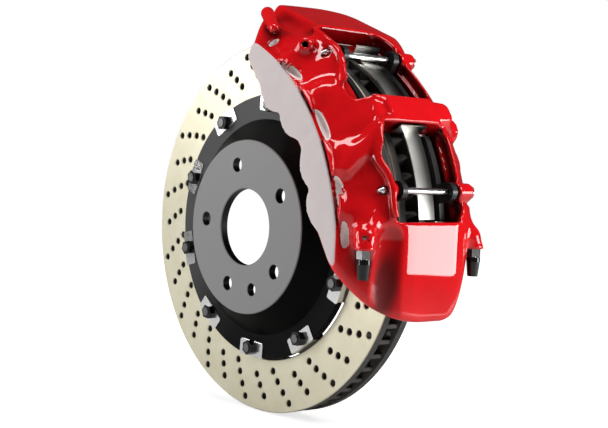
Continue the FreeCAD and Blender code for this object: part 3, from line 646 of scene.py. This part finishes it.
class Shader:
    """A node material under construction.  Values are numbers or the output sockets of nodes."""

    def __init__(self, name):
        self.material = bpy.data.materials.new(name)
        self.material.use_nodes = True
        self.tree = self.material.node_tree
        self.surface = self.tree.nodes["Principled BSDF"]
        self.place = self.node("ShaderNodeTexCoord").outputs["Object"]
        apart = self.node("ShaderNodeSeparateXYZ")
        self.link(self.place, apart.inputs[0])
        self.x, self.y, self.z = apart.outputs

    def node(self, kind, **values):
        made = self.tree.nodes.new(kind)
        for key, value in values.items():
            setattr(made, key, value)
        return made

    def link(self, source, target):
        self.tree.links.new(source, target)

    def drive(self, name, source):
        """A node's output on one of the surface's sockets."""
        self.link(source, self.surface.inputs[name])

    def plain(self, **values):
        """Constant values on the surface's own sockets."""
        for key, value in values.items():
            self.surface.inputs[key.replace("_", " ")].default_value = value

    def math(self, operation, first, second=None):
        made = self.node("ShaderNodeMath", operation=operation)
        for socket, value in zip(made.inputs, (first, second)):
            if value is None:
                continue
            if isinstance(value, (int, float)):
                socket.default_value = value
            else:
                self.link(value, socket)
        return made.outputs[0]

    def add(self, first, second):
        return self.math("ADD", first, second)

    def less(self, first, second):
        return self.math("SUBTRACT", first, second)

    def times(self, first, second):
        return self.math("MULTIPLY", first, second)

    def distance(self, first, second):
        """Length of a line from its two coordinates."""
        return self.math("SQRT", self.add(self.times(first, first), self.times(second, second)))

    def ramp(self, value, low, high, first=0.0, last=1.0):
        """A smooth step of a value, from first at low to last at high."""
        made = self.node("ShaderNodeMapRange", interpolation_type="SMOOTHSTEP")
        self.link(value, made.inputs["Value"])
        sockets = {"From Min": low, "From Max": high, "To Min": first, "To Max": last}
        for key, number in sockets.items():
            made.inputs[key].default_value = number
        return made.outputs["Result"]

    def noise(self, scale, detail=3.0, rough=0.5, stretch=None):
        made = self.node("ShaderNodeTexNoise")
        made.inputs["Scale"].default_value = scale
        made.inputs["Detail"].default_value = detail
        made.inputs["Roughness"].default_value = rough
        source = self.place
        if stretch:
            mapping = self.node("ShaderNodeMapping")
            mapping.inputs["Scale"].default_value = stretch
            self.link(self.place, mapping.inputs[0])
            source = mapping.outputs[0]
        self.link(source, made.inputs["Vector"])
        return made.outputs["Fac"]

    def mix(self, factor, first, second):
        """A colour between two; each is a colour or a socket."""
        made = self.node("ShaderNodeMix", data_type="RGBA")
        sockets = [s for s in made.inputs if s.type == "RGBA"]
        self.link(factor, made.inputs["Factor"])
        for socket, value in zip(sockets, (first, second)):
            if isinstance(value, tuple):
                socket.default_value = (*value, 1.0)
            else:
                self.link(value, socket)
        return [s for s in made.outputs if s.type == "RGBA"][0]

    def radius(self):
        """Distance from the disc axis."""
        return self.distance(self.x, self.z)

    def turned(self, angle):
        """Coordinates along and across the direction at an angle round the disc axis."""
        turn = math.radians(angle)
        cos, sin = math.cos(turn), math.sin(turn)
        along = self.add(self.times(self.x, cos), self.times(self.z, sin))
        across = self.less(self.times(self.z, cos), self.times(self.x, sin))
        return along, across

    def ball(self, radius, angle, depth, sizes):
        """How far out a point is in an ellipsoid of the casting's axes; 1 on its surface."""
        along, across = self.turned(angle + CALIPER_ANGLE)
        squares = 0
        middles = (radius * MM, 0, DISC_MID_Y + depth * MM)
        for value, middle, size in zip((along, across, self.y), middles, sizes):
            part = self.math("DIVIDE", self.less(value, middle), size * MM)
            squares = self.add(self.times(part, part), squares)
        return self.math("SQRT", squares)

    def openness(self, distance):
        """How little of the surroundings is hidden by nearby surfaces."""
        made = self.node("ShaderNodeAmbientOcclusion", samples=8)
        made.inputs["Distance"].default_value = distance
        return made.outputs["AO"]

    def bump(self, height, strength, distance=0.001):
        made = self.node("ShaderNodeBump")
        made.inputs["Strength"].default_value = strength
        made.inputs["Distance"].default_value = distance
        self.link(height, made.inputs["Height"])
        self.drive("Normal", made.outputs[0])


def grey(value):
    return (value, value, value)


def lacquer_and_painted_shade(made):
    """Red lacquer with painted shade: nearly black where shut in, and darker in the lower end's
    scoop.
    """
    deep_red, bright_red = (0.58, 0.004, 0.007), (0.88, 0.009, 0.013)
    shut_in_shade, scoop_shade_red = (0.05, 0.0003, 0.0006), (0.17, 0.002, 0.003)
    red = made.mix(made.noise(30, 4), deep_red, bright_red)
    # Painted shade, nearly black, where nearby surfaces hide the surroundings.
    red = made.mix(made.ramp(made.openness(distance=0.05), 0.45, 0.97), shut_in_shade, red)
    # Painted shade in the scoop of the lower end.
    scoop = made.ball(*facet_place(191, 34, -43, -1), (15, 42, 13))
    return made.mix(made.ramp(scoop, 0.45, 1.05), scoop_shade_red, red)


def land_reflection_mask(made):
    """1 on the land, which is painted pale as a reflection: on the outboard face, inside the land's
    edge.
    """
    along, across = made.turned(CALIPER_ANGLE)
    past = made.add(made.math("DEGREES", made.math("ARCTAN2", across, along)), LAND_TURN)
    rise = made.ramp(past, 0, 0.01, LAND_RISE_BELOW * MM, LAND_RISE_ABOVE * MM)
    edge = made.add(made.times(made.times(past, past), rise), LAND_RADIUS * MM)
    within = made.ramp(made.less(made.radius(), edge), -0.0001, 0.0002, first=1.0, last=0.0)
    face_y = DISC_MID_Y + OUTBOARD_V * MM
    flat = made.ramp(made.y, face_y + 0.0004, face_y + 0.0010, first=1.0, last=0.0)
    return made.times(flat, within)


def pocket_highlight_mask(made):
    """1 on the bottoms of the pockets beside the land, which are painted pale as highlights."""
    pocket_highlights = 0
    for radius, angle, wide, length in POCKETS:
        out = made.ball(radius, angle, pocket_middle(radius), (wide, length, POCKET_DEPTH))
        pocket_highlights = made.math("MAXIMUM", pocket_highlights, made.ramp(out, 1.03, 1.08, first=1.0, last=0.0))
    return pocket_highlights


def red_lacquer():
    """Glossy red lacquer over a cast surface; the blank land is a pale painted reflection, the
    pockets' bottoms pale painted highlights.
    """
    made = Shader("red_lacquer")
    pocket_highlights = pocket_highlight_mask(made)
    # Painted reflection on the land and painted highlights in the pockets: both are pale and have
    # no coat.
    painted_reflections = made.math("MAXIMUM", land_reflection_mask(made), pocket_highlights)
    pale = made.mix(made.noise(60, 2), (0.58, 0.52, 0.52), (0.66, 0.59, 0.58))
    pale = made.mix(pocket_highlights, pale, (0.90, 0.80, 0.78))
    made.drive("Base Color", made.mix(painted_reflections, lacquer_and_painted_shade(made), pale))
    made.drive("Coat Weight", made.less(1, painted_reflections))
    made.plain(Roughness=0.6, Specular_IOR_Level=0.0, Coat_Roughness=0.02, Coat_IOR=1.5)
    made.bump(made.noise(420, 2), strength=0.02)
    return made.material


def disc_iron():
    """Machined iron: fine rings on the rubbed faces, rough cast in the vents, dark at the rim."""
    made = Shader("disc_iron")
    radius = made.radius()
    depth = made.math("ABSOLUTE", made.less(made.y, DISC_MID_Y))
    face_edge, inner_edge = (0.0150, 0.0156), (0.1276, 0.1282)
    rubbed = made.times(made.ramp(depth, *face_edge), made.ramp(radius, *inner_edge))
    rim = made.ramp(radius, RING_RADIUS - 0.0006, RING_RADIUS - 0.0002)
    face = made.mix(made.noise(45, 4), (0.66, 0.61, 0.43), (0.79, 0.76, 0.61))
    cast = made.mix(made.noise(300, 4), (0.035, 0.033, 0.03), (0.12, 0.115, 0.105))
    edge = made.mix(made.noise(200, 3), (0.03, 0.029, 0.027), (0.10, 0.097, 0.09))
    made.drive("Base Color", made.mix(rubbed, made.mix(rim, cast, edge), face))
    made.drive("Roughness", made.ramp(rubbed, 0, 1, first=0.75, last=0.38))
    made.drive("Metallic", made.ramp(rubbed, 0, 1, first=0.2, last=0.6))
    radians_per_metre = 9000.0
    rings = made.math("SINE", made.times(radius, radians_per_metre))
    height = made.add(made.times(rings, 0.3), made.noise(900, 2))
    made.bump(height, strength=0.06, distance=0.0004)
    return made.material


def hat_black():
    """Black anodised aluminium, with a grey plate left unanodised, and painted light on the flange.
    """
    made = Shader("hat_black")
    plate = made.ramp(made.y, HAT_FACE_Y + 0.0006, HAT_FACE_Y + 0.0011, first=1.0, last=0.0)
    flange_edge, painted_light_span = (0.1028, 0.1034), (-0.09, 0.12)
    flange = made.ramp(made.radius(), *flange_edge)
    # Painted light: the flange is lighter and shinier towards the upper left, and this turns with
    # the disc.
    painted_light = made.ramp(made.less(made.z, made.x), *painted_light_span)
    grain = made.noise(1500, 2)
    bell = made.mix(grain, grey(0.001), grey(0.003))
    dark = made.mix(painted_light, (0.004, 0.004, 0.0045), (0.05, 0.05, 0.052))
    black = made.mix(flange, bell, dark)
    made.drive("Base Color", made.mix(plate, black, made.mix(grain, grey(0.18), grey(0.26))))
    painted_flange_sheen = made.ramp(painted_light, 0, 1, first=0.04, last=0.22)
    made.drive("Specular IOR Level", made.math("MAXIMUM", made.times(plate, 0.3), painted_flange_sheen))
    made.plain(Roughness=0.45)
    made.bump(grain, strength=0.08, distance=0.0004)
    return made.material


def metal(name, dark, light, rough, scale=400, metallic=1.0, stretch=None):
    """A metal with a fine grain."""
    made = Shader(name)
    grain = made.noise(scale, 3, 0.6, stretch)
    made.drive("Base Color", made.mix(grain, dark, light))
    made.drive("Roughness", made.ramp(grain, 0.2, 0.8, first=rough * 0.8, last=rough * 1.25))
    made.plain(Metallic=metallic)
    made.bump(grain, strength=0.05, distance=0.0003)
    return made.material


def spring_steel():
    """Tempered steel leaf with painted light and shade: bright along its outboard edge, dark along
    the other.
    """
    made = Shader("spring_steel")
    # Painted light and shade across the leaf, bright outboard and dark inboard.
    inboard = made.ramp(made.y, DISC_MID_Y - 0.006, DISC_MID_Y + 0.013)
    made.drive("Base Color", made.mix(inboard, (0.62, 0.61, 0.57), (0.05, 0.05, 0.048)))
    grain = made.noise(500, 3, 0.6, stretch=(1, 8, 1))
    made.drive("Roughness", made.ramp(grain, 0.2, 0.8, first=0.28, last=0.42))
    made.plain(Metallic=1.0)
    made.bump(grain, strength=0.03, distance=0.0002)
    return made.material


def rubber(name, dark, light, rough=0.55):
    """Moulded rubber."""
    made = Shader(name)
    grain = made.noise(700, 3)
    made.drive("Base Color", made.mix(grain, grey(dark), grey(light)))
    made.plain(Roughness=rough)
    made.bump(grain, strength=0.12, distance=0.0004)
    return made.material


def lining():
    """Moulded friction material with fine metal flecks."""
    made = Shader("pad_lining")
    fleck = made.ramp(made.noise(1400, 2, 0.7), 0.62, 0.68)
    ground = made.mix(made.noise(200, 4), (0.05, 0.046, 0.042), (0.11, 0.10, 0.09))
    made.drive("Base Color", made.mix(fleck, ground, (0.42, 0.36, 0.28)))
    made.plain(Roughness=0.85)
    made.bump(made.noise(900, 4), strength=0.4, distance=0.0006)
    return made.material


METALS = {
    "bright_steel": dict(dark=(0.62, 0.62, 0.61), light=(0.80, 0.80, 0.79), rough=0.22),
    "dark_steel": dict(dark=grey(0.10), light=grey(0.20), rough=0.4),
    "black_steel": dict(dark=grey(0.002), light=grey(0.008), rough=0.3, metallic=0.3),
    "stainless": dict(dark=(0.52, 0.52, 0.50), light=(0.74, 0.74, 0.72), rough=0.25, scale=500,
                      stretch=(1, 8, 1)),
    "piston_alloy": dict(dark=(0.30, 0.28, 0.25), light=(0.42, 0.40, 0.36), rough=0.4),
    "backplate_black": dict(dark=(0.008, 0.008, 0.009), light=(0.022, 0.022, 0.024), rough=0.35,
                            scale=600, metallic=0.2),
}
RUBBERS = {
    "seal_rubber": dict(dark=0.012, light=0.03),
    "boot_rubber": dict(dark=0.014, light=0.035),
    "cap_rubber": dict(dark=0.001, light=0.004, rough=0.15),
}


def all_materials():
    """One material for each slot of the record."""
    return {
        "red_lacquer": red_lacquer(),
        "disc_iron": disc_iron(),
        "hat_black": hat_black(),
        "spring_steel": spring_steel(),
        "pad_lining": lining(),
        **{name: metal(name, **look) for name, look in METALS.items()},
        **{name: rubber(name, **look) for name, look in RUBBERS.items()},
    }


def assign_materials(materials):
    """Every CAD node takes the material of its slot."""
    slots = {row["node"]: row["material_slot"] for row in frame["record"]["subparts"]}
    for name, obj in NODES.items():
        obj.data.materials.clear()
        obj.data.materials.append(materials[slots[name]])


# ---------------------------------------------------------------- studio

# Soft lights that face LIT_POINT: angle round from -Y towards +X, angle above the floor, distance,
# size and radiance
LIT_POINT = Vector((0.06, 0.03, 0.0))
SOFTBOXES = {
    "front_left": (-44, 20, 1.5, (0.6, 0.8), 7.5),
    "front_strip": (-20, 6, 1.5, (0.2, 0.8), 14.0),
    "side_right": (131.5, 2.4, 1.1, (0.5, 0.32), 12.0),
    "right_high": (112, 42, 1.4, (0.7, 0.5), 9.0),
    "overhead": (20, 82, 1.5, (0.9, 0.3), 10.0),
}
FLOOR_HALF = 4.0
FLOOR_GAP = 0.001
ROOM_LIGHT = 0.03

CAMERA_AROUND, CAMERA_ABOVE, CAMERA_ROLL = 48.8, 2.5, 2.69
CAMERA_DISTANCE = 1.23
CAMERA_SHIFT_RIGHT, CAMERA_SHIFT_UP = 0.0225, 0.0135
CAMERA_LENS, CAMERA_SENSOR = 75.2, 36.0


def direction(around, above):
    """The way out to a place at an angle round from -Y towards +X and an angle above the floor."""
    turn, rise = math.radians(around), math.radians(above)
    flat = math.cos(rise)
    return Vector((math.sin(turn) * flat, -math.cos(turn) * flat, math.sin(rise)))


def softbox(name, around, above, distance, size, radiance):
    """A soft light that faces the object and isn't seen by the camera."""
    away = direction(around, above)
    light = bpy.data.lights.new(name, "AREA")
    light.shape = "RECTANGLE"
    light.size, light.size_y = size
    light.energy = radiance * math.pi * size[0] * size[1]
    made = bpy.data.objects.new(name, light)
    made.location = LIT_POINT + distance * away
    made.rotation_euler = (-away).to_track_quat("-Z", "Y").to_euler()
    made.visible_camera = False
    bpy.context.scene.collection.objects.link(made)


def floor():
    """A pale floor, a little brighter to the camera than the light that falls on it."""
    low = -RING_RADIUS - FLOOR_GAP
    sides = ((-1, -1), (1, -1), (1, 1), (-1, 1))
    corners = [(x * FLOOR_HALF, y * FLOOR_HALF, low) for x, y in sides]
    made = mesh_object("studio_floor", corners, [(0, 1, 2, 3)])
    shader = Shader("studio_floor")
    shader.drive("Base Color", shader.mix(shader.noise(3, 1), grey(0.72), grey(0.75)))
    shader.plain(Roughness=0.9, Specular_IOR_Level=0.0, Emission_Color=(1, 1, 1, 1))
    seen = shader.node("ShaderNodeLightPath").outputs["Is Camera Ray"]
    glow = shader.ramp(shader.distance(shader.x, shader.y), 0.15, 0.6, first=0.7, last=1.0)
    shader.drive("Emission Strength", shader.times(seen, glow))
    made.data.materials.append(shader.material)


def world():
    """White behind the object, and a dimmer room around it for shading and reflections."""
    made = bpy.data.worlds.new("studio")
    made.use_nodes = True
    nodes, links = made.node_tree.nodes, made.node_tree.links
    room = nodes["Background"]
    white = nodes.new("ShaderNodeBackground")
    for background in (room, white):
        background.inputs["Color"].default_value = (1, 1, 1, 1)
    room.inputs["Strength"].default_value = ROOM_LIGHT
    seen = nodes.new("ShaderNodeLightPath")
    choice = nodes.new("ShaderNodeMixShader")
    links.new(seen.outputs["Is Camera Ray"], choice.inputs[0])
    links.new(room.outputs[0], choice.inputs[1])
    links.new(white.outputs[0], choice.inputs[2])
    links.new(choice.outputs[0], nodes["World Output"].inputs[0])
    bpy.context.scene.world = made


def camera():
    """The camera of the photograph, which looks along a direction and is rolled a little."""
    back = direction(CAMERA_AROUND, CAMERA_ABOVE)
    around, roll = math.radians(CAMERA_AROUND), math.radians(CAMERA_ROLL)
    right = Vector((math.cos(around), math.sin(around), 0))
    up = back.cross(right)
    shift = CAMERA_SHIFT_RIGHT * right + CAMERA_SHIFT_UP * up
    place = shift + CAMERA_DISTANCE * back + Vector((0, DISC_MID_Y, 0))
    rolled_right = math.cos(roll) * right + math.sin(roll) * up
    rolled_up = math.cos(roll) * up - math.sin(roll) * right
    data = bpy.data.cameras.new("camera")
    data.lens = CAMERA_LENS
    data.sensor_width = CAMERA_SENSOR
    made = bpy.data.objects.new("camera", data)
    turn = Matrix((rolled_right, rolled_up, back)).transposed().to_4x4()
    made.matrix_world = Matrix.Translation(place) @ turn
    bpy.context.scene.collection.objects.link(made)
    bpy.context.scene.camera = made


MATERIALS = all_materials()
assign_materials(MATERIALS)
caliper_casting(MATERIALS["red_lacquer"])
floor()
world()
for light_name, settings in SOFTBOXES.items():
    softbox(light_name, *settings)
camera()
bpy.context.scene.view_settings.view_transform = "Standard"
